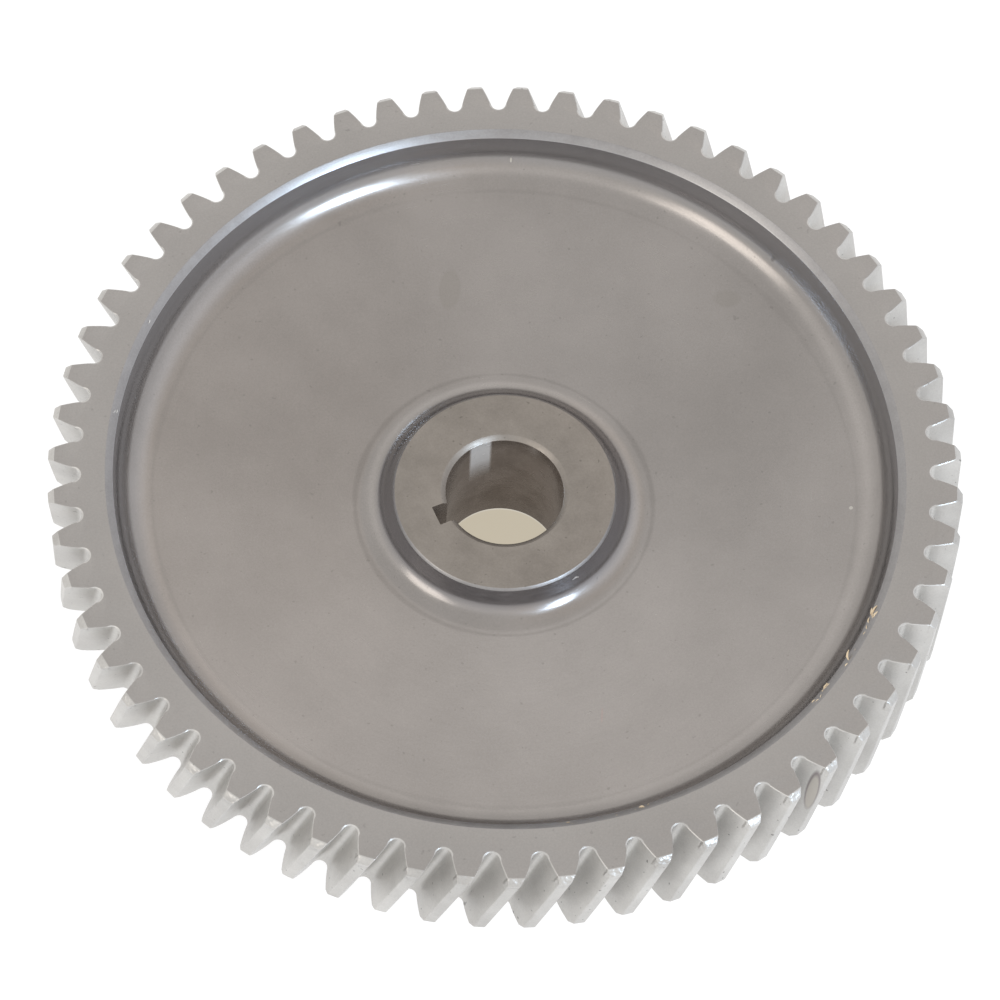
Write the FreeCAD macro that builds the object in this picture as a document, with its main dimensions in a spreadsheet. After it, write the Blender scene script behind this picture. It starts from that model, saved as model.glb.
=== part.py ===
# Helical gear with a dished web, turned and hobbed from one forging.
# The axis is +Z. The gear stands on the back face of its hub, at Z = 0, and its front face looks up.
import FreeCAD, Part

import math
import os

import Sketcher

# Driving sizes, in millimetres and degrees
SIZES = [
    ("teeth", 59),
    ("normal_module", 3),
    ("pressure_angle", 20),
    ("helix_angle", 17),
    ("backlash", 0.06),
    ("tooth_phase", -0.2),
    ("tip_chamfer", 1.2),
    ("face_width", 23),
    ("rim_thickness", 5.2),
    ("rim_chamfer_width", 1.6),
    ("rim_chamfer_depth", 1.2),
    ("rim_taper", 2.1),
    ("recess_depth", 9.3),
    ("web_angle", 9.1),
    ("web_thickness", 7),
    ("front_rim_fillet", 8.5),
    ("front_hub_fillet", 5.8),
    ("back_bevel", 3),
    ("hub_diameter", 47.5),
    ("hub_flare", 3.5),
    ("hub_setback", 11.6),
    ("hub_overhang", 20),
    ("hub_edge_break", 0.5),
    ("bore_diameter", 25),
    ("bore_chamfer_width", 1.1),
    ("bore_chamfer_depth", 0.7),
    ("key_width", 4.5),
    ("key_depth", 3.3),
    ("key_angle", 207),
]
ROOT_CLEARANCE = 1.25  # dedendum, in modules
ROOT_CHORDS = 5  # straight parts of the round root, which leave its arc by less than 0.06 mm
OVER_TIP = 0.5  # how far the blank is turned past the tips of the teeth
OVER_END = 1  # how far the toothed bar runs past the back face of the hub

# Radii, as expressions over the sheet
PITCH_RADIUS = "sizes.teeth * sizes.normal_module / cos(sizes.helix_angle * 1 deg) / 2"
TIP_RADIUS = f"({PITCH_RADIUS} + sizes.normal_module)"
ROOT_RADIUS = f"({PITCH_RADIUS} - {ROOT_CLEARANCE} * sizes.normal_module)"
TIP_FACE = f"({TIP_RADIUS} - sizes.tip_chamfer)"
TURNED_RADIUS = f"({TIP_RADIUS} + {OVER_TIP})"
RIM_MOUTH = f"({ROOT_RADIUS} - sizes.rim_thickness)"
RIM_WALL = f"({RIM_MOUTH} - sizes.rim_chamfer_width)"
RIM_FOOT = f"({RIM_WALL} - sizes.rim_taper)"
HUB_RADIUS = "(sizes.hub_diameter / 2)"
HUB_FACE = f"({HUB_RADIUS} - sizes.hub_edge_break)"
HUB_FOOT = f"({HUB_RADIUS} + sizes.hub_flare)"
BORE_RADIUS = "(sizes.bore_diameter / 2)"
BORE_MOUTH = f"({BORE_RADIUS} + sizes.bore_chamfer_width)"
KEY_FLOOR = f"({BORE_RADIUS} + sizes.key_depth)"

# Heights above the back face of the hub, as expressions over the sheet
RIM_BACK = "sizes.hub_overhang"
RIM_FRONT = "(sizes.hub_overhang + sizes.face_width)"
HUB_FRONT = f"({RIM_FRONT} - sizes.hub_setback)"
WEB_AT_RIM = f"({RIM_FRONT} - sizes.recess_depth)"
WEB_AT_HUB = f"({WEB_AT_RIM} - ({RIM_FOOT} - {HUB_FOOT}) * tan(sizes.web_angle * 1 deg))"
WEB_HEIGHT = "sizes.web_thickness / cos(sizes.web_angle * 1 deg)"
BACK_AT_RIM = f"({WEB_AT_RIM} - {WEB_HEIGHT})"
BACK_AT_HUB = f"({BACK_AT_RIM} - ({RIM_FOOT} - {HUB_RADIUS}) * tan(sizes.web_angle * 1 deg))"

doc = FreeCAD.newDocument("helical_gear")
sheet = doc.addObject("Spreadsheet::Sheet", "sizes")
for row, (alias, value) in enumerate(SIZES, start=1):
    sheet.set(f"A{row}", alias)
    sheet.set(f"B{row}", str(value))
    sheet.setAlias(f"B{row}", alias)
doc.recompute()


def number(expression):
    """The value of an expression over the sheet, as a plain number."""
    result = sheet.evalExpression(expression)
    return float(getattr(result, "Value", result))


def attached_sketch(body, name, role):
    """A sketch on one of the body's origin planes."""
    sketch = body.newObject("Sketcher::SketchObject", name)
    plane = next(part for part in body.Origin.OriginFeatures if part.Role == role)
    sketch.AttachmentSupport = [(plane, "")]
    sketch.MapMode = "FlatFace"
    return sketch


def add_dimension(sketch, name, expression, *reference):
    """A named dimension of the sketch, bound to an expression."""
    index = sketch.addConstraint(Sketcher.Constraint(*reference))
    sketch.renameConstraint(index, name)
    sketch.setExpression(f"Constraints.{name}", expression)


def rounding(before, corner, after, radius):
    """The arc that rounds a corner, its ends on the lines before and after, and whether it turns left."""
    back, ahead = (before - corner).normalize(), (after - corner).normalize()
    half_corner = back.getAngle(ahead) / 2
    reach = radius / math.tan(half_corner)
    middle = corner + (back + ahead).normalize() * (radius / math.sin(half_corner))
    start, end = corner + back * reach, corner + ahead * reach
    left = ahead.cross(back).z > 0
    first, last = (start, end) if left else (end, start)
    angles = [math.atan2(point.y - middle.y, point.x - middle.x) for point in (first, last)]
    circle = Part.Circle(middle, FreeCAD.Vector(0, 0, 1), radius)
    return Part.ArcOfCircle(circle, *angles), start, end, left


def draw_outline(sketch, corners, loose=(), rounds=()):
    """A closed outline of straight lines through corners, each with its x and y expression.

    The heights of the loose corners only start the drawing: other dimensions place them.
    A corner in rounds is rounded to the radius expression that it has there.
    """
    rounds = dict(rounds)
    points = [FreeCAD.Vector(number(x), number(y), 0) for name, x, y in corners]
    count = len(points)
    arcs = {}
    for line, (name, x, y) in enumerate(corners):
        if name in rounds:
            arcs[line] = rounding(points[line - 1], points[line], points[(line + 1) % count],
                                  number(rounds[name]))
    for line in range(count):
        following = (line + 1) % count
        start = arcs[line][2] if line in arcs else points[line]
        end = arcs[following][1] if following in arcs else points[following]
        sketch.addGeometry(Part.LineSegment(start, end), False)
    for line, (name, x, y) in enumerate(corners):
        previous = (line - 1) % count
        if line in arcs:
            arc, start, end, left = arcs[line]
            arc_index = sketch.addGeometry(arc, False)
            corner_index = sketch.addGeometry(Part.Point(points[line]), True)
            first, last = (1, 2) if left else (2, 1)
            sketch.addConstraint([
                Sketcher.Constraint("Tangent", previous, 2, arc_index, first),
                Sketcher.Constraint("Tangent", line, 1, arc_index, last),
                Sketcher.Constraint("PointOnObject", corner_index, 1, previous),
                Sketcher.Constraint("PointOnObject", corner_index, 1, line),
            ])
            add_dimension(sketch, f"{name}_round", rounds[name], "Radius", arc_index, arc.Radius)
            corner = corner_index
        else:
            sketch.addConstraint(Sketcher.Constraint("Coincident", previous, 2, line, 1))
            corner = line
        add_dimension(sketch, f"{name}_x", x, "DistanceX", -1, 1, corner, 1, points[line].x)
        if name not in loose:
            add_dimension(sketch, f"{name}_y", y, "DistanceY", -1, 1, corner, 1, points[line].y)


# Turned blank: half of the gear's section, with the web's two faces parallel
SECTION = [
    ("bore_back", BORE_RADIUS, "sizes.bore_chamfer_depth"),
    ("bore_front", BORE_RADIUS, f"{HUB_FRONT} - sizes.bore_chamfer_depth"),
    ("bore_mouth_front", BORE_MOUTH, HUB_FRONT),
    ("hub_face_front", HUB_FACE, HUB_FRONT),
    ("hub_edge_front", HUB_RADIUS, f"{HUB_FRONT} - sizes.hub_edge_break"),
    ("hub_foot_front", HUB_FOOT, WEB_AT_HUB),
    ("rim_foot_front", RIM_FOOT, WEB_AT_RIM),
    ("rim_wall_front", RIM_WALL, f"{RIM_FRONT} - sizes.rim_chamfer_depth"),
    ("rim_mouth_front", RIM_MOUTH, RIM_FRONT),
    ("turned_front", TURNED_RADIUS, RIM_FRONT),
    ("turned_back", TURNED_RADIUS, RIM_BACK),
    ("rim_mouth_back", RIM_MOUTH, RIM_BACK),
    ("rim_wall_back", RIM_WALL, f"{RIM_BACK} + sizes.rim_chamfer_depth"),
    ("rim_bevel_back", RIM_FOOT, f"{BACK_AT_RIM} - sizes.back_bevel"),
    ("rim_foot_back", f"{RIM_FOOT} - sizes.back_bevel", BACK_AT_RIM),
    ("hub_foot_back", f"{HUB_RADIUS} + sizes.back_bevel", BACK_AT_HUB),
    ("hub_bevel_back", HUB_RADIUS, f"{BACK_AT_HUB} - sizes.back_bevel"),
    ("hub_edge_back", HUB_RADIUS, "sizes.hub_edge_break"),
    ("hub_face_back", HUB_FACE, "0"),
    ("bore_mouth_back", BORE_MOUTH, "0"),
]
corner_names = [name for name, x, y in SECTION]
web_front = corner_names.index("hub_foot_front")
web_back = corner_names.index("rim_foot_back")

# Forged fillets where the front of the web runs into the hub and the rim
ROUNDS = [
    ("rim_foot_front", "sizes.front_rim_fillet"),
    ("hub_foot_front", "sizes.front_hub_fillet"),
]

blank = doc.addObject("PartDesign::Body", "blank")
section = attached_sketch(blank, "section", "XZ_Plane")
draw_outline(section, SECTION, ("hub_foot_front", "rim_foot_back", "hub_foot_back"), ROUNDS)
web_slope = math.radians(number("sizes.web_angle"))
add_dimension(section, "web_angle", "sizes.web_angle * 1 deg", "Angle", web_front, web_slope)
section.addConstraint(Sketcher.Constraint("Parallel", web_front, web_back))
add_dimension(section, "web_thickness", "sizes.web_thickness",
              "Distance", web_back, 1, web_front, number("sizes.web_thickness"))

turning = blank.newObject("PartDesign::Revolution", "turning")
turning.Profile = section
turning.ReferenceAxis = (section, ["V_Axis"])
turning.Angle = 360
doc.recompute()

# Keyway, broached through the hub on one side of the bore
KEY_SECTION = [
    ("floor_right", KEY_FLOOR, "-sizes.key_width / 2"),
    ("floor_left", KEY_FLOOR, "sizes.key_width / 2"),
    ("mouth_left", f"{BORE_RADIUS} / 2", "sizes.key_width / 2"),
    ("mouth_right", f"{BORE_RADIUS} / 2", "-sizes.key_width / 2"),
]
key_section = attached_sketch(blank, "key_section", "XY_Plane")
key_section.AttachmentOffset = FreeCAD.Placement(
    FreeCAD.Vector(), FreeCAD.Rotation(FreeCAD.Vector(0, 0, 1), number("sizes.key_angle")))
key_section.setExpression(".AttachmentOffset.Rotation.Angle", "sizes.key_angle * 1 deg")
draw_outline(key_section, KEY_SECTION)
keyway = blank.newObject("PartDesign::Pocket", "keyway")
keyway.Profile = key_section
keyway.Type = "ThroughAll"
keyway.Reversed = True
before_keyway = keyway.BaseFeature.Shape.Volume
doc.recompute()
if keyway.Shape.Volume > before_keyway - 1:
    raise ValueError("the keyway cuts nothing")

# Sizes of the teeth in the plane across the axis
teeth = round(number("sizes.teeth"))
helix_angle = math.radians(number("sizes.helix_angle"))
pitch_radius = number(PITCH_RADIUS)
root_radius = number(ROOT_RADIUS)
tip_radius = number(TIP_RADIUS)
normal_slope = math.tan(math.radians(number("sizes.pressure_angle")))
pressure_angle = math.atan(normal_slope / math.cos(helix_angle))
base_radius = pitch_radius * math.cos(pressure_angle)
pitch_angle = 2 * math.pi / teeth


def polar(radius, angle):
    """A point of the outline about the axis."""
    return FreeCAD.Vector(radius * math.cos(angle), radius * math.sin(angle), 0)


def involute(angle):
    """How far an involute has turned where its pressure angle is this."""
    return math.tan(angle) - angle


def half_tooth(radius):
    """The angle from a tooth's middle to its flank at a radius."""
    play = number("sizes.backlash") / 2 / pitch_radius
    slope = math.acos(base_radius / radius)
    return pitch_angle / 4 - play + involute(pressure_angle) - involute(slope)


def root_below(radius):
    """The lowest radius of the round root whose arc touches both flanks at a radius."""
    slope = math.acos(base_radius / radius)
    reach = math.tan(slope + pitch_angle / 2 - half_tooth(radius)) * base_radius
    return math.hypot(base_radius, reach) - (reach - radius * math.sin(slope))


def touch_radius():
    """The radius at which the round root runs into the flanks, found by halving."""
    low, high = root_radius, tip_radius
    while high - low > 1e-9:
        middle = (low + high) / 2
        if root_below(middle) < root_radius:
            low = middle
        else:
            high = middle
    return low


def flank(centre, side, start, end):
    """One flank of the tooth at an angle, from a radius to another: the arc through its involute."""
    radii = [start, (start + end) / 2, end]
    return Part.Arc(*[polar(radius, centre + side * half_tooth(radius)) for radius in radii]).toShape()


def tooth_edges(centre, touch, top):
    """The edges of the tooth at an angle, up to a top radius, and of the round root that follows."""
    top_angle = half_tooth(top)
    foot_angle = half_tooth(touch)
    following = centre + pitch_angle
    root = Part.Arc(polar(touch, centre + foot_angle), polar(root_radius, centre + pitch_angle / 2),
                    polar(touch, following - foot_angle)).toShape()
    return [
        flank(centre, -1, touch, top),
        Part.LineSegment(polar(top, centre - top_angle), polar(top, centre + top_angle)).toShape(),
        flank(centre, 1, top, touch),
        *Part.makePolygon(root.discretize(ROOT_CHORDS + 1)).Edges,
    ]


# Toothed bar: the outline of all the teeth at six heights, each turned on by the helix angle, with
# straight lines from one to the next. It leaves the true helix by less than 0.02 mm.
# From one height to the next the outline turns by less than half a pitch, or the lines would run to
# the tooth beside and slant the other way.
# The phase is the angle of one tooth's middle on the front face of the rim.
LEVELS = [
    ("under_hub", f"-{OVER_END}", TIP_RADIUS),
    ("under_rim", f"({RIM_BACK} - {OVER_END}) / 2", TIP_RADIUS),
    ("rim_back", RIM_BACK, TIP_RADIUS),
    ("rim_middle", f"({RIM_BACK} + {RIM_FRONT} - sizes.tip_chamfer) / 2", TIP_RADIUS),
    ("tip_chamfer", f"{RIM_FRONT} - sizes.tip_chamfer", TIP_RADIUS),
    ("rim_front", RIM_FRONT, TIP_FACE),
]
phase = math.radians(number("sizes.tooth_phase"))
touch = touch_radius()
outlines = []
for name, level, top in LEVELS:
    height = number(level)
    turned = phase + (height - number(RIM_FRONT)) * math.tan(helix_angle) / pitch_radius
    edges = []
    for tooth in range(teeth):
        edges += tooth_edges(turned + tooth * pitch_angle, touch, number(top))
    outline = doc.addObject("Part::Feature", f"teeth_at_{name}")
    outline.Shape = Part.Wire(edges)
    outline.Placement.Base.z = height
    outlines.append(outline)

toothed_bar = doc.addObject("Part::Loft", "toothed_bar")
toothed_bar.Sections = outlines
toothed_bar.Solid = True
toothed_bar.Ruled = True

# Gear: what the blank and the toothed bar share
gear = doc.addObject("Part::Common", "gear")
gear.Base = blank
gear.Tool = toothed_bar
gear.Label = "helical_gear"
doc.recompute()

for item in doc.Objects:
    if "Invalid" in item.State or "Error" in item.State:
        raise ValueError(f"{item.Label} is {item.State}")
if gear.Shape.isNull() or not gear.Shape.isValid() or len(gear.Shape.Solids) != 1:
    raise ValueError("the gear is not one sound solid")

os.makedirs("parts", exist_ok=True)
gear.Shape.exportStep(f"parts/{gear.Label}.step")
print(f"{gear.Label}: {teeth} teeth, {len(gear.Shape.Faces)} faces, {gear.Shape.Volume:.0f} mm3")
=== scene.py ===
# %% [markdown]
# # A helical gear in machined steel
# The real object is one forging. It was turned to make the rim, the dished web and the hub,
# bored and broached, and then a hob cut 59 slanted teeth into the rim. This lesson builds the same
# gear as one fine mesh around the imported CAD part, and dresses it in procedural steel.

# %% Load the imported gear
import math

import bmesh
import bpy
from mathutils import Matrix, Vector


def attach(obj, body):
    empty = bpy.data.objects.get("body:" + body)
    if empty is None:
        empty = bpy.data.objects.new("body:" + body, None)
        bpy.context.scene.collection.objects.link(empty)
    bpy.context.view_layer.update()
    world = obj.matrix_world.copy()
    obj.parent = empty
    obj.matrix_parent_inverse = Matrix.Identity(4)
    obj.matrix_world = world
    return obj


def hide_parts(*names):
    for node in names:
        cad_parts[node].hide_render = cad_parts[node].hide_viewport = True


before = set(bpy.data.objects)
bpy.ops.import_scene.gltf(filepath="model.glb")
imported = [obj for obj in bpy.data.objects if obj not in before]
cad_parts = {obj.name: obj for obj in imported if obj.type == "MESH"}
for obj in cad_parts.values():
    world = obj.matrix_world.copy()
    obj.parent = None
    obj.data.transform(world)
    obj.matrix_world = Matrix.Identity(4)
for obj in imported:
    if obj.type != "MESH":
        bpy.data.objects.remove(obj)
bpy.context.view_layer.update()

# %% [markdown]
# ## Sizes
# The gear is drawn in millimetres, because that is how a workshop drawing gives it, and turned into
# metres when a mesh is made. The axis is +Z and the hub's back face lies on the floor, at height 0.

# %% Sizes of the gear
MM = 0.001

TEETH = 59
NORMAL_MODULE = 3.0
HELIX = math.radians(17)
NORMAL_PRESSURE = math.radians(20)
BACKLASH = 0.06
# How far the roots lie inside the pitch circle, in modules
DEDENDUM = 1.25
FIRST_TOOTH = math.radians(-0.2)

PITCH_RADIUS = TEETH * NORMAL_MODULE / math.cos(HELIX) / 2
TIP_RADIUS = PITCH_RADIUS + NORMAL_MODULE
ROOT_RADIUS = PITCH_RADIUS - DEDENDUM * NORMAL_MODULE
PRESSURE = math.atan(math.tan(NORMAL_PRESSURE) / math.cos(HELIX))
BASE_RADIUS = PITCH_RADIUS * math.cos(PRESSURE)
TIP_CHAMFER = 1.2

RIM_BACK = 20.0
RIM_FRONT = 43.0
HUB_FRONT = 31.4
WEB_AT_RIM = 33.7
WEB_LEAN = math.radians(9.1)
WEB_SLOPE = math.tan(WEB_LEAN)
WEB_THICKNESS = 7.0 / math.cos(WEB_LEAN)

RIM_MOUTH = ROOT_RADIUS - 5.2
RIM_WALL = RIM_MOUTH - 1.6
RIM_FOOT = RIM_WALL - 2.1
RIM_CHAMFER = 1.2
HUB_RADIUS = 23.75
HUB_FOOT = HUB_RADIUS + 3.5
HUB_CHAMFER = 0.5
BORE_RADIUS = 12.5
BORE_MOUTH = BORE_RADIUS + 1.1
BORE_CHAMFER = 0.7
KEY_WIDTH = 4.5
KEY_FLOOR = BORE_RADIUS + 3.3
KEY_ANGLE = math.radians(207)
print(f"pitch radius {PITCH_RADIUS:.2f} mm, tip {TIP_RADIUS:.2f} mm, root {ROOT_RADIUS:.2f} mm")

# %% [markdown]
# ## The turned section
# A lathe makes everything inside the teeth, so half a section is enough: a list of radii and heights
# that runs from the front mouth of the rim, over the web and the hub, through the bore and back along
# the hidden side. Corners are rounded by a small function, because a forged or turned corner is an
# arc, and an arc that is drawn reflects a window as a line where a bevelled corner would flicker.


# %% Rounding a corner of the section
def rounded(before, corner, after, radius, steps):
    """Points of the arc that rounds a corner between two straight runs."""
    a, p, b = Vector(before), Vector(corner), Vector(after)
    to_a, to_b = (a - p).normalized(), (b - p).normalized()
    half = to_a.angle(to_b) / 2
    reach = radius / math.tan(half)
    centre = p + (to_a + to_b).normalized() * radius / math.sin(half)
    start, end = p + to_a * reach - centre, p + to_b * reach - centre
    turn = start.angle(end)
    points = []
    for step in range(steps + 1):
        share = step / steps
        arm = (start * math.sin((1 - share) * turn) + end * math.sin(share * turn)) / math.sin(turn)
        points.append(centre + arm)
    return points


# %% The section as corners
WEB_AT_HUB = WEB_AT_RIM - (RIM_FOOT - HUB_FOOT) * WEB_SLOPE
BACK_AT_RIM = WEB_AT_RIM - WEB_THICKNESS
BACK_AT_HUB = BACK_AT_RIM - (RIM_FOOT - HUB_RADIUS) * WEB_SLOPE

# Each row: radius, height, corner radius, steps in the arc, finish of the arc and the run after it
FACE, HUB, EDGE, WEB, BORE, TEETH_FINISH = range(6)
SECTION = [
    (RIM_MOUTH, RIM_FRONT, 0.10, 2, EDGE),
    (RIM_WALL, RIM_FRONT - RIM_CHAMFER, 0.25, 3, WEB),
    (RIM_FOOT, WEB_AT_RIM, 8.5, 18, WEB),
    (HUB_FOOT, WEB_AT_HUB, 5.8, 16, WEB),
    (HUB_RADIUS, HUB_FRONT - HUB_CHAMFER, 0.15, 2, EDGE),
    (HUB_RADIUS - HUB_CHAMFER, HUB_FRONT, 0.15, 2, HUB),
    (BORE_MOUTH, HUB_FRONT, 0.10, 2, HUB),
    (BORE_RADIUS, HUB_FRONT - BORE_CHAMFER, 0.10, 2, BORE),
    (BORE_RADIUS, BORE_CHAMFER, 0.10, 2, EDGE),
    (BORE_MOUTH, 0.0, 0.10, 2, HUB),
    (HUB_RADIUS - HUB_CHAMFER, 0.0, 0.15, 2, EDGE),
    (HUB_RADIUS, HUB_CHAMFER, 0.15, 2, WEB),
    (HUB_RADIUS, BACK_AT_HUB, 6.0, 10, WEB),
    (RIM_FOOT, BACK_AT_RIM, 4.0, 10, WEB),
    (RIM_WALL, RIM_BACK + RIM_CHAMFER, 0.25, 3, EDGE),
    (RIM_MOUTH, RIM_BACK, 0.10, 2, FACE),
]
LAND_RING = ROOT_RADIUS - 1.0
STRAIGHT_STEP = 8.0


def section_points():
    """The rounded section as points with the finish of the run that follows each."""
    ring_front, ring_back = (LAND_RING, RIM_FRONT), (LAND_RING, RIM_BACK)
    corners = [ring_front] + [row[:2] for row in SECTION] + [ring_back]
    points = [(Vector(ring_front), FACE)]
    for index, row in enumerate(SECTION):
        arc = rounded(corners[index], corners[index + 1], corners[index + 2], row[2], row[3])
        last, finish = points[-1]
        parts = max(1, round((arc[0] - last).length / STRAIGHT_STEP))
        for part in range(1, parts):
            points.append((last.lerp(arc[0], part / parts), finish))
        points += [(point, row[4]) for point in arc]
    points.append((Vector(ring_back), FACE))
    return points


section = section_points()
print("the section has", len(section), "points")

# %% [markdown]
# ## One tooth
# A hob leaves involute flanks: the curve that the end of a taut string draws as it unwinds from the
# base circle. It can be modelled by eye, but then a mating gear would not roll on it, and the gaps
# would look too square. Here a formula gives the half width of the tooth at every radius, so each
# level of the tooth can end exactly on the chamfer cone at its tip.


# %% Tooth form
PITCH = 2 * math.pi / TEETH
FLANK_STEPS, ROOT_STEPS, LAND_STEPS = 7, 8, 3
EDGE_BREAK = 0.14
ROOT_BREAK = 0.3


def involute(angle):
    """How far an involute has turned where its pressure angle is this."""
    return math.tan(angle) - angle


def half_tooth(radius):
    """The angle from a tooth's middle to its flank at a radius."""
    play = BACKLASH / 2 / PITCH_RADIUS
    return PITCH / 4 - play + involute(PRESSURE) - involute(math.acos(BASE_RADIUS / radius))


def root_circle(radius):
    """Distance from the axis and radius of the round root that touches both flanks at a radius."""
    slope = math.acos(BASE_RADIUS / radius)
    reach = math.tan(slope + PITCH / 2 - half_tooth(radius)) * BASE_RADIUS
    return math.hypot(BASE_RADIUS, reach), reach - radius * math.sin(slope)


def touch_radius():
    """Where the round root runs into the flanks, found by halving."""
    low, high = ROOT_RADIUS, TIP_RADIUS
    for _ in range(50):
        middle = (low + high) / 2
        distance, size = root_circle(middle)
        if distance - size < ROOT_RADIUS:
            low = middle
        else:
            high = middle
    return low


TOUCH = touch_radius()
print(f"the round root touches the flanks at {TOUCH:.2f} mm")


def on_circle(radius, angle):
    """A point of the cross-section. The tooth's middle is on +X."""
    return Vector((radius * math.cos(angle), radius * math.sin(angle)))


def half_outline(top):
    """Half of one pitch of the teeth, from the valley's middle to the tooth's middle."""
    centre = on_circle(root_circle(TOUCH)[0], PITCH / 2)
    start = on_circle(ROOT_RADIUS, PITCH / 2) - centre
    end = on_circle(TOUCH, half_tooth(TOUCH)) - centre
    sweep = start.angle_signed(end)
    points = [centre + Matrix.Rotation(-sweep * step / ROOT_STEPS, 2) @ start
              for step in range(ROOT_STEPS)]
    flank_top = top - EDGE_BREAK
    for step in range(FLANK_STEPS + 1):
        radius = TOUCH + (flank_top - TOUCH) * step / FLANK_STEPS
        points.append(on_circle(radius, half_tooth(radius)))
    land = half_tooth(top) - EDGE_BREAK / top
    for step in range(LAND_STEPS + 1):
        points.append(on_circle(top, land * (1 - step / LAND_STEPS)))
    return points


def tooth_outline(top, inset):
    """One pitch of the teeth at one height, from valley to valley, set in by the edge break."""
    half = half_outline(top)
    points = [Vector((point.x, -point.y)) for point in half] + half[-2::-1]
    if not inset:
        return points
    ahead = points[1:] + [Matrix.Rotation(PITCH, 2) @ points[1]]
    behind = [Matrix.Rotation(-PITCH, 2) @ points[-2]] + points[:-1]
    shifted = []
    for point, after, before in zip(points, ahead, behind):
        along = (after - before).normalized()
        depth = inset if point.length > TOUCH else inset * ROOT_BREAK / EDGE_BREAK
        shifted.append(point + Vector((-along.y, along.x)) * depth)
    return shifted


outline_check = tooth_outline(TIP_RADIUS, 0)
print("one pitch of the teeth has", len(outline_check), "points")

# %% [markdown]
# ## One sector
# The gear repeats itself 59 times, so only one sector is modelled: a tooth with its share of the rim,
# the web and the hub. It is built upright here. The slant of the teeth comes later, as a rule.


# %% Mesh of one sector
SECTOR_STEPS = 6
TOOTH_LEVELS = 9


def tooth_levels():
    """Heights of the tooth's rings, each with its top radius and inset, from front to back."""
    levels = []
    for face, inward in ((RIM_FRONT, -1), (RIM_BACK, 1)):
        end = [(face, TIP_RADIUS - TIP_CHAMFER, EDGE_BREAK)]
        for depth in (EDGE_BREAK, TIP_CHAMFER):
            end.append((face + inward * depth, TIP_RADIUS - TIP_CHAMFER + depth, 0))
        levels.append(end)
    front, back = levels
    high, low = front[-1][0], back[-1][0]
    middle = [(high + (low - high) * step / TOOTH_LEVELS, TIP_RADIUS, 0)
              for step in range(1, TOOTH_LEVELS)]
    return front + middle + back[::-1]


def sector_mesh():
    """One pitch of the gear as a mesh, with the finish of each face in an attribute."""
    mesh = bpy.data.meshes.new("sector")
    maker = bmesh.new()
    finish = maker.faces.layers.int.new("finish")
    angles = [PITCH * (step / SECTOR_STEPS - 0.5) for step in range(SECTOR_STEPS + 1)]

    def corner(point, height):
        return maker.verts.new((point.x * MM, point.y * MM, height * MM))

    def face(corners, kind):
        made = maker.faces.new(corners)
        made[finish] = kind
        made.smooth = True

    rings = [[corner(on_circle(point.x, angle), point.y) for angle in angles]
             for point, kind in section]
    for (point, kind), ring, following in zip(section, rings, rings[1:]):
        for step in range(SECTOR_STEPS):
            face((ring[step], following[step], following[step + 1], ring[step + 1]), kind)

    levels = [[corner(point, height) for point in tooth_outline(top, inset)]
              for height, top, inset in tooth_levels()]
    for level, below in zip(levels, levels[1:]):
        for step in range(len(level) - 1):
            face((level[step], below[step], below[step + 1], level[step + 1]), TEETH_FINISH)
    face(rings[0] + levels[0][::-1], FACE)
    face(rings[-1][::-1] + levels[-1], FACE)
    bmesh.ops.recalc_face_normals(maker, faces=maker.faces)
    maker.to_mesh(mesh)
    maker.free()
    return mesh


sector = bpy.data.objects.new("sector", sector_mesh())
bpy.context.scene.collection.objects.link(sector)
print("one sector has", len(sector.data.polygons), "faces")

# %% [markdown]
# ## Steel, before the gear is assembled
# All of the gear is the same steel, but each tool leaves its own surface: a faced rim, a browner
# hub face, bright chamfers, a smooth turned web, a stained bore and pale hobbed teeth. One recipe
# makes all six, with its own numbers for each, so that they stay one metal. The pattern reads the
# radius and the height of a point, because a lathe marks a part in rings.


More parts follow.
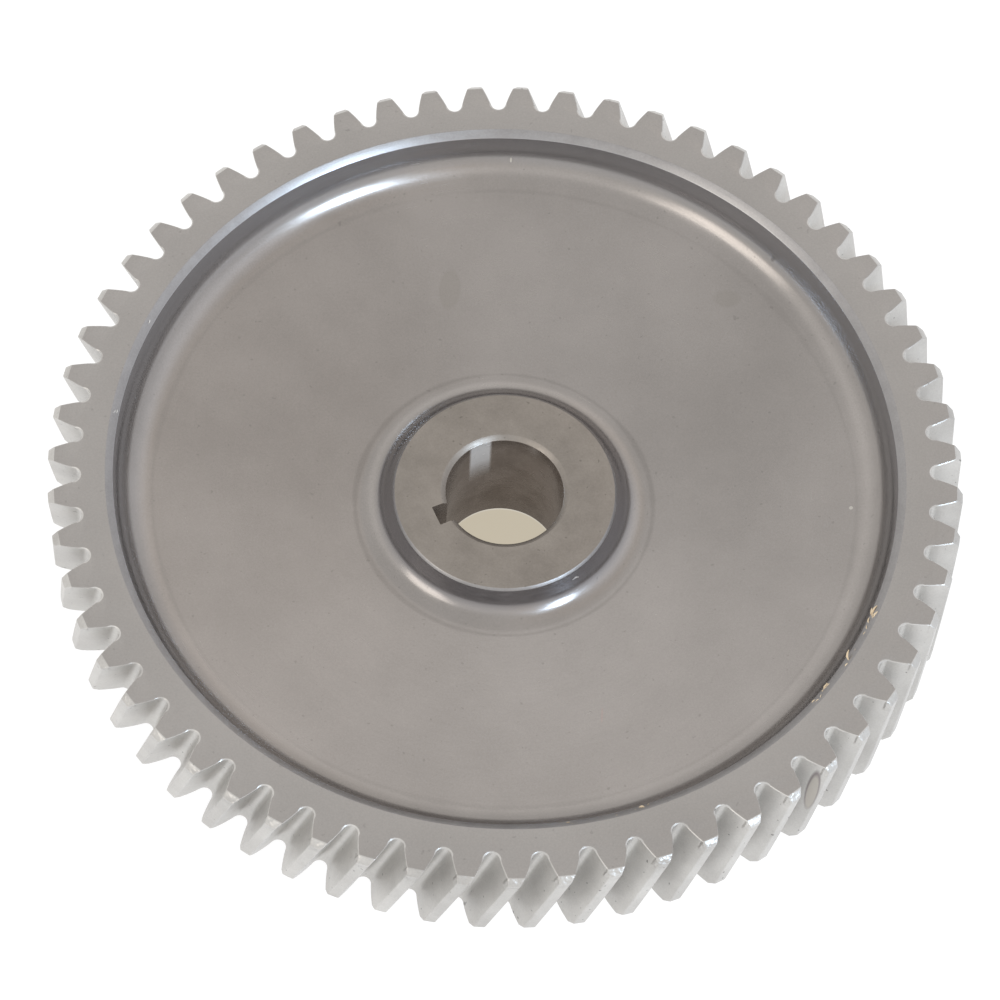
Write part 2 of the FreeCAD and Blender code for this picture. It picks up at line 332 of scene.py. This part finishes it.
# %% A small kit for shader nodes
class Shader:
    """Adds nodes to a material and links them."""

    def __init__(self, name):
        self.material = bpy.data.materials.new(name)
        self.material.use_nodes = True
        self.tree = self.material.node_tree
        self.tree.nodes.clear()

    def add(self, kind, settings=None, **inputs):
        """A node with its settings and inputs. An input may be a value or an output to link.

        It goes by its name, or by i and its number.
        """
        node = self.tree.nodes.new(kind)
        for name, value in (settings or {}).items():
            setattr(node, name, value)
        for name, value in inputs.items():
            numbered = name[1:].isdigit()
            socket = node.inputs[int(name[1:]) if numbered else name.replace("_", " ")]
            if isinstance(value, bpy.types.NodeSocket):
                self.tree.links.new(value, socket)
            else:
                socket.default_value = value
        return node

    def math(self, operation, *values):
        """The result of a Math node."""
        inputs = {f"i{index}": value for index, value in enumerate(values)}
        return self.add("ShaderNodeMath", {"operation": operation}, **inputs).outputs[0]

    def noise(self, place, scale, detail=2.0, roughness=0.5):
        """A noise from 0 to 1 over a place."""
        node = self.add("ShaderNodeTexNoise", Vector=place, Scale=scale, Detail=detail,
                        Roughness=roughness)
        return node.outputs["Fac"]

    def spread(self, value, low, high, to_low, to_high):
        """A value carried from one range to another, and kept inside it."""
        node = self.add("ShaderNodeMapRange", Value=value, From_Min=low, From_Max=high,
                        To_Min=to_low, To_Max=to_high)
        return node.outputs[0]

    def mix(self, share, first, second):
        """A colour between two others."""
        return self.add("ShaderNodeMix", {"data_type": "RGBA"}, i0=share, i6=first,
                        i7=second).outputs[2]

    def near(self, place, centre, sizes, lean=(0, 0, 0)):
        """How far a place is from a centre in millimetres, where 1 is the edge of an ellipsoid.

        Lean is how far the ellipsoid's middle moves for each millimetre up.
        """
        apart = self.add("ShaderNodeVectorMath", {"operation": "SUBTRACT"}, i0=place,
                         i1=Vector(centre) * MM).outputs[0]
        height = self.add("ShaderNodeSeparateXYZ", Vector=apart).outputs[2]
        moved = self.add("ShaderNodeVectorMath", {"operation": "SCALE"}, i0=Vector(lean),
                         Scale=height).outputs[0]
        apart = self.add("ShaderNodeVectorMath", {"operation": "SUBTRACT"}, i0=apart,
                         i1=moved).outputs[0]
        scaled = self.add("ShaderNodeVectorMath", {"operation": "DIVIDE"}, i0=apart,
                          i1=Vector(sizes) * MM).outputs[0]
        return self.add("ShaderNodeVectorMath", {"operation": "LENGTH"}, i0=scaled).outputs["Value"]


# %% Where the patterns lie, in metres, and how fine they are
SOOT = (0.05, 0.045, 0.04, 1)
# Bands of radius where the walls take painted light: a painted reflection on the rim's wall, a painted
# shade on the hub's
RIM_REFLECTION_BAND, HUB_SHADE_BAND = (0.0792, 0.0815), (0.0276, 0.0250)
TIP_BAND, FRONT_BAND, NEAR_SIDE_BAND = (0.0940, 0.0944), (0.0402, 0.0412), (-0.02, -0.05)
RING_SCALE, GRAIN_SCALE, STAIN_SCALE, SPECK_SCALE, KNOCK_SCALE = 1800.0, 2600.0, 140.0, 900.0, 520.0

# Faint dark lines that the lathe left on the web: radius and share
LATHE_LINES = ((0.0316, 0.15), (0.0742, 0.06))
print("lathe lines at radii", [ring for ring, share in LATHE_LINES], "m")


# %% The steel recipe
def steel(name, colour, dark, roughness, ring_bump, mottle=0.5, blotch=55.0, metallic=1.0,
          painted_walls=None, stain=None, specks=0.0, marks=(), patch=None, battered=False):
    """Steel with rings from the lathe, soft mottling and fine grain.

    The steep tints are painted light: a lighter, bluer painted reflection on the wall of the rim, and
    a darker painted shade on the wall of the hub. Stain and specks are dirt. Each mark has a centre,
    sizes, a colour, a share and perhaps a lean. A patch is a window's light painted on the bore: two
    angles, two heights, a colour and a share. Battered steel has knocks at the tips of the teeth.
    """
    shader = Shader(name)
    place = shader.add("ShaderNodeTexCoord").outputs["Object"]
    split = shader.add("ShaderNodeSeparateXYZ", Vector=place).outputs
    radius = shader.math("SQRT", shader.math("ADD", shader.math("MULTIPLY", split[0], split[0]),
                                             shader.math("MULTIPLY", split[1], split[1])))
    angle = shader.math("ARCTAN2", split[1], split[0])
    slow_angle = shader.math("MULTIPLY", angle, 0.004)
    ringed = shader.add("ShaderNodeCombineXYZ", X=radius, Y=split[2], Z=slow_angle).outputs[0]
    rings = shader.noise(ringed, RING_SCALE, 3.0)
    blotches = shader.noise(place, blotch, 4.0, 0.6)
    grain = shader.noise(place, GRAIN_SCALE, 2.0, 0.6)

    shade = shader.math("ADD", shader.math("MULTIPLY", blotches, mottle),
                        shader.math("MULTIPLY", grain, 1 - mottle))
    body = shader.mix(shader.spread(shade, 0.35, 0.65, 0.0, 1.0), dark, colour)
    if painted_walls:
        # The wall of the rim takes a lighter, bluer painted reflection, and the wall of the hub a
        # darker painted shade
        rim_reflection, hub_shade = painted_walls
        body = shader.mix(shader.spread(radius, *RIM_REFLECTION_BAND, 0.0, 1.0), body, rim_reflection)
        body = shader.mix(shader.spread(radius, *HUB_SHADE_BAND, 0.0, 1.0), body, hub_shade)
        wander = shader.spread(blotches, 0.3, 0.7, -0.0004, 0.0004)
        for ring, share in LATHE_LINES:
            gap = shader.math("ABSOLUTE", shader.math("SUBTRACT", radius, ring))
            line = shader.spread(shader.math("ADD", gap, wander), 0.0001, 0.0007, share, 0.0)
            body = shader.mix(line, body, SOOT)
    if stain:
        patches = shader.spread(shader.noise(place, STAIN_SCALE, 5.0, 0.65), 0.42, 0.62, 0.0, 0.55)
        body = shader.mix(patches, body, stain)
    if specks:
        dots = shader.spread(shader.noise(place, SPECK_SCALE, 1.0), 0.74, 0.77, 0.0, specks)
        body = shader.mix(dots, body, SOOT)
    for centre, sizes, tint, share, *lean in marks:
        inside = shader.spread(shader.near(place, centre, sizes, *lean), 0.8, 1.0, share, 0.0)
        body = shader.mix(inside, body, tint)
    if patch:
        (left, right), (bottom, top), tint, share = patch
        soft = math.radians(3)
        sideways = shader.math("MULTIPLY", shader.spread(angle, left, left + soft, 0.0, 1.0),
                               shader.spread(angle, right - soft, right, 1.0, 0.0))
        lit = shader.math("MULTIPLY", sideways, shader.spread(split[2], bottom, top, 0.0, share))
        body = shader.mix(lit, body, tint)
        metallic = shader.math("SUBTRACT", metallic, shader.math("MULTIPLY", lit, 0.55))
    gloss = shader.math("ADD", shader.spread(rings, 0.3, 0.7, roughness - 0.04, roughness + 0.04),
                        shader.spread(blotches, 0.3, 0.7, -0.03, 0.03))
    bump = shader.add("ShaderNodeBump", Height=rings, Strength=ring_bump, Distance=0.00003)
    bump = shader.add("ShaderNodeBump", Height=grain, Strength=0.25, Distance=0.00002,
                      Normal=bump.outputs[0])
    if battered:
        tips = shader.math("MULTIPLY", shader.spread(radius, *TIP_BAND, 0.0, 1.0),
                           shader.spread(split[2], *FRONT_BAND, 0.0, 1.0))
        tips = shader.math("MULTIPLY", tips, shader.spread(split[1], *NEAR_SIDE_BAND, 0.0, 1.0))
        knocks = shader.math("MULTIPLY", shader.noise(place, KNOCK_SCALE, 2.0, 0.6), tips)
        bump = shader.add("ShaderNodeBump", Height=knocks, Strength=0.5, Distance=0.0007,
                          Normal=bump.outputs[0])
    metal = shader.add("ShaderNodeBsdfPrincipled", Base_Color=body, Roughness=gloss,
                       Metallic=metallic, Normal=bump.outputs[0])
    shader.add("ShaderNodeOutputMaterial", Surface=metal.outputs[0])
    return shader.material


# %% [markdown]
# ## Marks of use
# The gear was handled and stacked, so it has a few marks of its own: a long dent on one flank, and a
# faint scratch, dull patches and small specks on the web. They could be painted in an image, but that
# needs a map of the whole gear. Here each is an ellipsoid in the gear's own millimetres, and what lies
# A dent is two of them: a dark one, which is painted shade where the dent's wall turns from the light,
# and a paler one inside.

# %% Marks and finishes
PALE, DULL, ROSE = (0.62, 0.60, 0.56, 1), (0.30, 0.28, 0.25, 1), (0.45, 0.36, 0.34, 1)
WEB_MARKS = [
    ((73.05, 0.5, 32.6), (0.45, 0.45, 1.0), PALE, 0.8),
    ((22.9, -50.4, 29.8), (0.25, 2.2, 1.0), ROSE, 0.5),
    ((54.7, 58.6, 36.6), (0.5, 0.5, 1.0), SOOT, 0.3),
    ((-14.7, 50.0, 29.3), (2.6, 5.5, 2.0), DULL, 0.25),
    ((46.0, 51.0, 30.6), (4.5, 3.0, 2.0), DULL, 0.25),
    ((-3.3, 79.9, 36.4), (0.25, 0.5, 0.8), PALE, 0.9),
]
# The dent's dark outline is painted shade on its wall, where the light doesn't reach
DENT_SHADE, WORN = (0.22, 0.19, 0.19, 1), (0.46, 0.43, 0.39, 1)
DENT_LEAN = (0.105, 0.264, 0)
FLANK_MARKS = [
    ((66.0, -67.05, 35.7), (1.45, 1.6, 6.3), DENT_SHADE, 0.85, DENT_LEAN),
    ((66.05, -67.1, 35.0), (1.15, 1.25, 5.4), WORN, 1.0, DENT_LEAN),
]
# Painted light for the walls: a lighter, bluer painted reflection on the rim's wall, a darker painted
# shade on the hub's
PAINTED_WALL_LIGHT = ((0.45, 0.447, 0.46, 1), (0.32, 0.31, 0.32, 1))
BORE_PATCH = ((math.radians(105), math.radians(130)), (0.0165, 0.0235), (1, 1, 1, 1), 0.85)
FINISHES = {
    FACE: steel("faced_steel", (0.455, 0.435, 0.42, 1), (0.395, 0.378, 0.365, 1), 0.4, 0.2,
                blotch=30.0, specks=0.15),
    HUB: steel("hub_face_steel", (0.36, 0.328, 0.297, 1), (0.275, 0.25, 0.225, 1), 0.4, 0.2,
               mottle=0.7, blotch=110.0, specks=0.3),
    EDGE: steel("chamfered_steel", (0.40, 0.39, 0.39, 1), (0.33, 0.32, 0.32, 1), 0.34, 0.5,
                blotch=300.0),
    WEB: steel("turned_steel", (0.415, 0.39, 0.374, 1), (0.34, 0.319, 0.305, 1), 0.22, 0.1,
               mottle=0.7, blotch=26.0, painted_walls=PAINTED_WALL_LIGHT, specks=0.15, marks=WEB_MARKS),
    BORE: steel("stained_bore_steel", (0.50, 0.455, 0.42, 1), (0.37, 0.33, 0.30, 1), 0.25, 0.25,
                metallic=0.85, stain=(0.26, 0.225, 0.195, 1), patch=BORE_PATCH),
    TEETH_FINISH: steel("hobbed_steel", (0.66, 0.645, 0.62, 1), (0.49, 0.475, 0.455, 1), 0.36, 0.2,
                        mottle=0.75, metallic=0.6, specks=0.6, marks=FLANK_MARKS, battered=True),
}
print("finishes:", [material.name for material in FINISHES.values()])

# %% [markdown]
# ## All the teeth, with Geometry Nodes
# The sector is instanced once for each tooth, round the axis, and a rule then turns every point by
# an angle that grows with its height. That rule is the helix: tan(helix angle) divided by the pitch
# radius, for each metre up the axis. Straight loops in Python could copy the sector too, but a node
# tree keeps the number of teeth and the slant as named inputs that anyone can change later.


# %% The node tree
# Points of neighbouring sectors that lie closer than this, in metres, become one
SEAM = 2e-6


class Geometry(Shader):
    """The same small kit, for a tree of geometry nodes."""

    def __init__(self, name):
        self.tree = bpy.data.node_groups.new(name, "GeometryNodeTree")

    def input(self, name, kind):
        """A named input of the tree. Its identifier is what a modifier sets."""
        return self.tree.interface.new_socket(name, in_out="INPUT", socket_type=kind).identifier


def round_tree():
    """Turns one upright sector into the whole gear with slanted teeth."""
    nodes = Geometry("gear_from_sector")
    ids = {"Sector": nodes.input("Sector", "NodeSocketGeometry")}
    for name, kind in (("Teeth", "NodeSocketInt"), ("First tooth", "NodeSocketFloat"),
                       ("Helix angle", "NodeSocketFloat"), ("Pitch radius", "NodeSocketFloat"),
                       ("Front height", "NodeSocketFloat")):
        ids[name] = nodes.input(name, kind)
    nodes.tree.interface.new_socket("Gear", in_out="OUTPUT", socket_type="NodeSocketGeometry")
    given = nodes.add("NodeGroupInput").outputs

    position = nodes.add("GeometryNodeInputPosition").outputs[0]
    height = nodes.add("ShaderNodeSeparateXYZ", Vector=position).outputs[2]
    above = nodes.math("SUBTRACT", height, given["Front height"])
    per_metre = nodes.math("DIVIDE", nodes.math("TANGENT", given["Helix angle"]),
                           given["Pitch radius"])
    turned = nodes.add("ShaderNodeVectorRotate", {"rotation_type": "Z_AXIS"}, Vector=position,
                       Angle=nodes.math("MULTIPLY", above, per_metre)).outputs[0]
    slanted = nodes.add("GeometryNodeSetPosition", Geometry=given["Sector"], Position=turned)

    places = nodes.add("GeometryNodePoints", Count=given["Teeth"])
    number = nodes.add("GeometryNodeInputIndex").outputs[0]
    pitch = nodes.math("DIVIDE", 2 * math.pi, given["Teeth"])
    angle = nodes.math("ADD", nodes.math("MULTIPLY", number, pitch), given["First tooth"])
    turn = nodes.add("ShaderNodeCombineXYZ", Z=angle).outputs[0]
    copies = nodes.add("GeometryNodeInstanceOnPoints", Points=places.outputs[0],
                       Instance=slanted.outputs[0], Rotation=turn)
    whole = nodes.add("GeometryNodeRealizeInstances", Geometry=copies.outputs[0]).outputs[0]
    whole = nodes.add("GeometryNodeMergeByDistance", Geometry=whole, Distance=SEAM).outputs[0]
    kind = nodes.add("GeometryNodeInputNamedAttribute", {"data_type": "INT"}, Name="finish")
    for finish, material in FINISHES.items():
        chosen = nodes.add("FunctionNodeCompare", {"data_type": "INT", "operation": "EQUAL"},
                           i2=kind.outputs[0], i3=finish)
        whole = nodes.add("GeometryNodeSetMaterial", Geometry=whole, Selection=chosen.outputs[0],
                          Material=material).outputs[0]
    nodes.add("NodeGroupOutput", Gear=whole)
    return nodes.tree, ids


gear_tree, gear_inputs = round_tree()
print("the tree takes:", list(gear_inputs))


# %% From the tree to a plain mesh
def plain_mesh(item, name):
    """The object's result with all its modifiers, as a mesh of its own."""
    depsgraph = bpy.context.evaluated_depsgraph_get()
    mesh = bpy.data.meshes.new_from_object(item.evaluated_get(depsgraph))
    mesh.name = name
    return mesh


rounder = sector.modifiers.new("gear_from_sector", "NODES")
rounder.node_group = gear_tree
for name, value in (("Teeth", TEETH), ("First tooth", FIRST_TOOTH), ("Helix angle", HELIX),
                    ("Pitch radius", PITCH_RADIUS * MM), ("Front height", RIM_FRONT * MM)):
    rounder[gear_inputs[name]] = value
gear = bpy.data.objects.new("steel_gear", plain_mesh(sector, "steel_gear"))
bpy.context.scene.collection.objects.link(gear)
sector.modifiers.clear()
bpy.data.objects.remove(sector)
# The first slot is the bare sector's own. It is empty, and no face is left in it.
gear.data.materials.pop(index=0)
print("the gear has", len(gear.data.polygons), "faces and", len(gear.data.materials), "finishes")

# %% [markdown]
# ## The keyway
# A broach is pulled through the bore and takes out a straight slot for the key. It doesn't repeat, so
# it comes last, as it does in the workshop: a plain block, cut out of the finished mesh.

# %% Cut the keyway
KEY_OVER = 1.0
key_block = bpy.data.meshes.new("key_block")
maker = bmesh.new()
bmesh.ops.create_cube(maker, size=1.0)
key_length, key_reach = HUB_FRONT + 2 * KEY_OVER, KEY_FLOOR - BORE_RADIUS / 2
place = Matrix.Rotation(KEY_ANGLE, 4, "Z") @ Matrix.Translation(
    Vector(((KEY_FLOOR - key_reach / 2) * MM, 0, HUB_FRONT / 2 * MM)))
bmesh.ops.transform(maker, verts=maker.verts, matrix=place @ Matrix.Diagonal(
    (key_reach * MM, KEY_WIDTH * MM, key_length * MM, 1)))
maker.to_mesh(key_block)
maker.free()
key_block.materials.append(FINISHES[BORE])
broach = bpy.data.objects.new("broach", key_block)
bpy.context.scene.collection.objects.link(broach)

slot = gear.modifiers.new("keyway", "BOOLEAN")
slot.object = broach
slot.operation = "DIFFERENCE"
slot.solver = "EXACT"
slot.material_mode = "TRANSFER"
cut = plain_mesh(gear, "steel_gear")
gear.modifiers.clear()
gear.data = cut
bpy.data.objects.remove(broach)
print("with the keyway it has", len(gear.data.polygons), "faces")

# %% [markdown]
# ## Sharp where the tool left it sharp
# The mesh is shaded smooth so that arcs look like arcs, and every edge that turns by more than 24
# degrees is marked sharp, as the machined edges are. Flat shading would keep the edges too, but then
# each arc would show its facets. The edges that don't join two faces are counted, and must be none.

# %% Mark the sharp edges and count the loose ones
SHARP = math.radians(24)
for polygon in gear.data.polygons:
    polygon.use_smooth = True
gear.data.set_sharp_from_angle(angle=SHARP)
maker = bmesh.new()
maker.from_mesh(gear.data)
open_edges = [edge for edge in maker.edges if not edge.is_manifold]
triangles = sum(len(face.verts) - 2 for face in maker.faces)
maker.free()
print("open edges:", len(open_edges), "triangles:", triangles)

# %% [markdown]
# ## Loose flecks on the gear
# Straw-coloured slivers are caught along the chamfer of the rim, with a few white ones there and at
# the hub, and small dark burrs hang at one tooth's tip and one root. Each could be placed by hand, but
# chance looks more like dirt. So one bent sliver is drawn, and a node tree scatters it along an arc
# about the axis, each copy turned and sized from a fixed seed. The count, the arc, its radius and
# height, and the slope of the surface under it are named inputs.

# %% One sliver
SLIVER_PATH = ((0, 0, 0), (0.45, 0.12, 0.06), (0.9, 0.02, 0.10), (1.3, -0.16, 0.05))
SLIVER_HALF = (0.05, 0.13, 0.11, 0.03)


def sliver_mesh(name, material):
    """A thin bent strip of metal, closed, a little over a millimetre long."""
    maker = bmesh.new()
    rings = []
    for (x, y, z), half in zip(SLIVER_PATH, SLIVER_HALF):
        rings.append([maker.verts.new((x * MM, (y + across) * MM, (z + up) * MM))
                      for across, up in ((-half, -0.04), (half, -0.04), (half, 0.05), (-half, 0.05))])
    for ring, following in zip(rings, rings[1:]):
        for side in range(4):
            after = (side + 1) % 4
            maker.faces.new((ring[side], ring[after], following[after], following[side]))
    maker.faces.new(rings[0][::-1])
    maker.faces.new(rings[-1])
    bmesh.ops.recalc_face_normals(maker, faces=maker.faces)
    mesh = bpy.data.meshes.new(name)
    maker.to_mesh(mesh)
    maker.free()
    mesh.materials.append(material)
    return mesh


# %% The tree that scatters slivers along an arc
def scatter_tree():
    """Scatters copies of the incoming mesh along an arc about the axis."""
    nodes = Geometry("slivers_on_arc")
    ids = {"Sliver": nodes.input("Sliver", "NodeSocketGeometry")}
    for name, kind in (("Count", "NodeSocketInt"), ("Radius", "NodeSocketFloat"),
                       ("Height", "NodeSocketFloat"), ("Slope", "NodeSocketFloat"),
                       ("First angle", "NodeSocketFloat"), ("Last angle", "NodeSocketFloat"),
                       ("Scale", "NodeSocketFloat"), ("Seed", "NodeSocketInt"),
                       ("Finish", "NodeSocketMaterial")):
        ids[name] = nodes.input(name, kind)
    nodes.tree.interface.new_socket("Flecks", in_out="OUTPUT", socket_type="NodeSocketGeometry")
    given = nodes.add("NodeGroupInput").outputs

    def chance(low, high, offset):
        """A random number between two others for each copy. The offset keeps the draws apart."""
        seed = nodes.math("ADD", given["Seed"], offset)
        return nodes.add("FunctionNodeRandomValue", {"data_type": "FLOAT"}, i2=low, i3=high,
                         i8=seed).outputs[1]

    angle = chance(given["First angle"], given["Last angle"], 1)
    shift = chance(-0.0006, 0.00015, 2)
    radius = nodes.math("ADD", given["Radius"], shift)
    height = nodes.math("ADD", given["Height"], nodes.math("MULTIPLY", shift, given["Slope"]))
    place = nodes.add("ShaderNodeCombineXYZ",
                      X=nodes.math("MULTIPLY", radius, nodes.math("COSINE", angle)),
                      Y=nodes.math("MULTIPLY", radius, nodes.math("SINE", angle)),
                      Z=height).outputs[0]
    points = nodes.add("GeometryNodePoints", Count=given["Count"], Position=place).outputs[0]
    turn = nodes.add("ShaderNodeCombineXYZ", X=chance(-0.5, 0.3, 3), Y=chance(-0.12, 0.1, 4),
                     Z=nodes.math("ADD", angle, chance(0.9, 2.2, 5))).outputs[0]
    size = nodes.math("MULTIPLY", given["Scale"], chance(0.4, 1.2, 6))
    copies = nodes.add("GeometryNodeInstanceOnPoints", Points=points, Instance=given["Sliver"],
                       Rotation=turn, Scale=size).outputs[0]
    whole = nodes.add("GeometryNodeRealizeInstances", Geometry=copies).outputs[0]
    whole = nodes.add("GeometryNodeSetMaterial", Geometry=whole, Material=given["Finish"]).outputs[0]
    nodes.add("NodeGroupOutput", Flecks=whole)
    return nodes.tree, ids


fleck_tree, fleck_inputs = scatter_tree()


def plain_finish(name, colour, roughness):
    """A dull finish for a small loose thing."""
    shader = Shader(name)
    place = shader.add("ShaderNodeTexCoord").outputs["Object"]
    spots = shader.noise(place, 2500.0)
    body = shader.mix(spots, [value * 0.7 for value in colour[:3]] + [1], colour)
    surface = shader.add("ShaderNodeBsdfPrincipled", Base_Color=body, Roughness=roughness,
                         Metallic=0.2)
    shader.add("ShaderNodeOutputMaterial", Surface=surface.outputs[0])
    return shader.material


STRAW = plain_finish("straw_fleck", (0.86, 0.68, 0.46, 1), 0.45)
CHALK = plain_finish("chalk_fleck", (0.95, 0.94, 0.92, 1), 0.5)
GRIME = plain_finish("dark_burr", (0.10, 0.095, 0.09, 1), 0.5)

CHAMFER_SLOPE = RIM_CHAMFER / (RIM_MOUTH - RIM_WALL)

# Each row: name, finish, count, radius, height, slope, first and last angle in degrees, scale, seed
FLECKS = [
    ("straw_flecks_right", STRAW, 17, 83.0, 42.44, CHAMFER_SLOPE, -19.5, -31.0, 1.45, 3),
    ("straw_flecks_lower", STRAW, 9, 82.9, 42.42, CHAMFER_SLOPE, -34.0, -38.5, 1.1, 11),
    ("straw_flecks_bottom", STRAW, 8, 82.9, 42.49, CHAMFER_SLOPE, -57.5, -82.0, 0.7, 21),
    ("chalk_flecks_left", CHALK, 3, 83.1, 42.64, CHAMFER_SLOPE, 174.6, 175.6, 0.6, 5),
    ("chalk_fleck_far", CHALK, 1, 83.1, 42.64, CHAMFER_SLOPE, 159.0, 159.2, 0.7, 8),
    ("chalk_fleck_hub", CHALK, 1, 24.9, 29.5, 0.0, -51.4, -51.6, 1.1, 14),
    ("dark_burr_tooth", GRIME, 4, 94.1, 42.2, 0.0, 4.3, 4.9, 0.7, 2),
    ("dark_burr_root", GRIME, 4, 89.4, 41.8, 0.0, 34.0, 34.8, 0.6, 6),
]


def scatter(name, finish, count, radius, height, slope, first, last, scale, seed):
    """One group of flecks as a plain mesh."""
    item = bpy.data.objects.new(name, sliver_mesh(name, finish))
    bpy.context.scene.collection.objects.link(item)
    maker = item.modifiers.new("slivers_on_arc", "NODES")
    maker.node_group = fleck_tree
    for key, value in (("Count", count), ("Radius", radius * MM), ("Height", height * MM),
                       ("Slope", slope), ("First angle", math.radians(first)),
                       ("Last angle", math.radians(last)), ("Scale", scale), ("Seed", seed),
                       ("Finish", finish)):
        maker[fleck_inputs[key]] = value
    mesh = plain_mesh(item, name)
    item.modifiers.clear()
    item.data = mesh
    return item


flecks = [scatter(*row) for row in FLECKS]
print("flecks:", {item.name: len(item.data.polygons) for item in flecks})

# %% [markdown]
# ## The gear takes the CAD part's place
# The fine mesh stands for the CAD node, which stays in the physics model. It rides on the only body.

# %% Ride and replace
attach(gear, "root")
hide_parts("helical_gear")
for fleck in flecks:
    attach(fleck, "root")
print("the gear rides on root")

# %% [markdown]
# ## Floor, light and camera
# The photo was taken on a white ground between two windows, a cool one on the right and a warm one on
# the left, both on the camera's side. Polished corners show them as thin lines, so they are large area
# lamps here. The rest of the room is a pale world, which is what flat steel reflects. It could be one
# grey, but then the rounded corners would look flat. So it is palest halfway up and a fifth darker low
# down and overhead, a little warm on the right, and cool at the far right. The floor is white, apart
# from a darker disc under the bore, where little light reaches the real ground.

# %% The floor
FLOOR_SIZE = 6.0
# The darker disc under the bore is a painted shadow: beige where the camera sees it, darker in
# reflections
UNDER_BORE_SEEN, UNDER_BORE = (0.58, 0.52, 0.41, 1), (0.30, 0.27, 0.24, 1)
FLOOR_GLOW, FLOOR_GLOW_SHARE = 1.12, 0.82
ground = bpy.data.meshes.new("floor")
half_floor = FLOOR_SIZE / 2
ground.from_pydata([(-half_floor, -half_floor, 0), (half_floor, -half_floor, 0),
                    (half_floor, half_floor, 0), (-half_floor, half_floor, 0)], [], [(0, 1, 2, 3)])
floor = bpy.data.objects.new("floor", ground)
bpy.context.scene.collection.objects.link(floor)
paper = Shader("white_ground")
rays = paper.add("ShaderNodeLightPath").outputs
seen = paper.math("MAXIMUM", rays["Is Camera Ray"], rays["Is Glossy Ray"])
spot_on_floor = paper.add("ShaderNodeTexCoord").outputs["Object"]
from_axis = paper.near(spot_on_floor, (0, 0, 0), (BORE_RADIUS, BORE_RADIUS, BORE_RADIUS))
outside = paper.spread(from_axis, 1.0, 1.1, 0.0, 1.0)
painted_shadow_under_bore = paper.mix(rays["Is Camera Ray"], UNDER_BORE, UNDER_BORE_SEEN)
tint = paper.mix(outside, painted_shadow_under_bore, (1, 1, 1, 1))
matt = paper.add("ShaderNodeBsdfDiffuse", Color=tint)
glow = paper.add("ShaderNodeEmission", Color=tint, Strength=FLOOR_GLOW)
mixed = paper.add("ShaderNodeMixShader", i0=paper.math("MULTIPLY", seen, FLOOR_GLOW_SHARE),
                  i1=matt.outputs[0], i2=glow.outputs[0])
paper.add("ShaderNodeOutputMaterial", Surface=mixed.outputs[0])
floor.data.materials.append(paper.material)
print("floor:", FLOOR_SIZE, "m")

# %% The light
centre = Vector((0, 0, RIM_FRONT * MM))


def window(name, direction, distance, width, height, power, colour):
    """A large soft lamp that looks at the gear from a direction."""
    lamp = bpy.data.lights.new(name, "AREA")
    lamp.shape = "RECTANGLE"
    lamp.size, lamp.size_y = width, height
    lamp.energy = power
    lamp.color = colour
    item = bpy.data.objects.new(name, lamp)
    toward = Vector(direction).normalized()
    item.location = centre + toward * distance
    item.rotation_euler = toward.to_track_quat("Z", "Y").to_euler()
    bpy.context.scene.collection.objects.link(item)


window("cool_window", (0.57, -0.51, 0.65), 1.2, 0.2, 0.38, 4.0, (0.62, 0.80, 1.0))
window("warm_window", (-0.64, -0.44, 0.63), 1.2, 0.55, 0.5, 1.2, (1.0, 0.94, 0.86))


# %% The room around the gear
class Room(Shader):
    """The same small kit, for the world."""

    def __init__(self, name):
        self.world = bpy.data.worlds.new(name)
        self.world.use_nodes = True
        self.tree = self.world.node_tree
        self.tree.nodes.clear()


room = Room("pale_room")
toward = room.add("ShaderNodeSeparateXYZ",
                  Vector=room.add("ShaderNodeTexCoord").outputs["Generated"]).outputs
wall = room.mix(room.spread(toward[0], 0.0, 0.3, 0.0, 1.0), (1.0, 0.985, 0.965, 1),
                (1.0, 0.955, 0.91, 1))
right = room.mix(room.spread(toward[0], 0.35, 0.75, 0.0, 1.0), wall, (1.02, 1.03, 1.06, 1))
shade = room.math("MULTIPLY", room.spread(toward[2], 0.72, 0.87, 1.0, 0.8),
                  room.spread(toward[2], 0.3, 0.66, 0.8, 1.0))
backdrop = room.add("ShaderNodeBackground", Color=right, Strength=shade)
room.add("ShaderNodeOutputWorld", Surface=backdrop.outputs[0])
bpy.context.scene.world = room.world
print("world:", room.world.name)

# %% [markdown]
# ## The camera
# The camera looks down at 61 degrees with a long lens, and is turned by a few degrees. The numbers
# were fitted to the circles of the rim, the hub and the bore in the photo.

# %% The camera
VIEW_TILT = math.radians(61.10)
VIEW_ROLL = math.radians(3.69)
VIEW_DISTANCE = 0.89805
VIEW_SIDE, VIEW_RISE = -0.00139, -0.00762
away = Vector((0, -math.cos(VIEW_TILT), math.sin(VIEW_TILT)))
level, upright = Vector((1, 0, 0)), Vector((0, math.sin(VIEW_TILT), math.cos(VIEW_TILT)))
across = level * math.cos(VIEW_ROLL) + upright * math.sin(VIEW_ROLL)
rise = upright * math.cos(VIEW_ROLL) - level * math.sin(VIEW_ROLL)
eye = bpy.data.cameras.new("photo_view")
eye.lens, eye.sensor_width = 154.95, 36.0
camera = bpy.data.objects.new("photo_view", eye)
spot = centre + away * VIEW_DISTANCE + across * VIEW_SIDE + rise * VIEW_RISE
camera.matrix_world = Matrix.Translation(spot) @ Matrix((across, rise, away)).transposed().to_4x4()
bpy.context.scene.collection.objects.link(camera)
bpy.context.scene.camera = camera
bpy.context.scene.view_settings.view_transform = "Standard"
print("camera at", [round(v, 3) for v in camera.location])
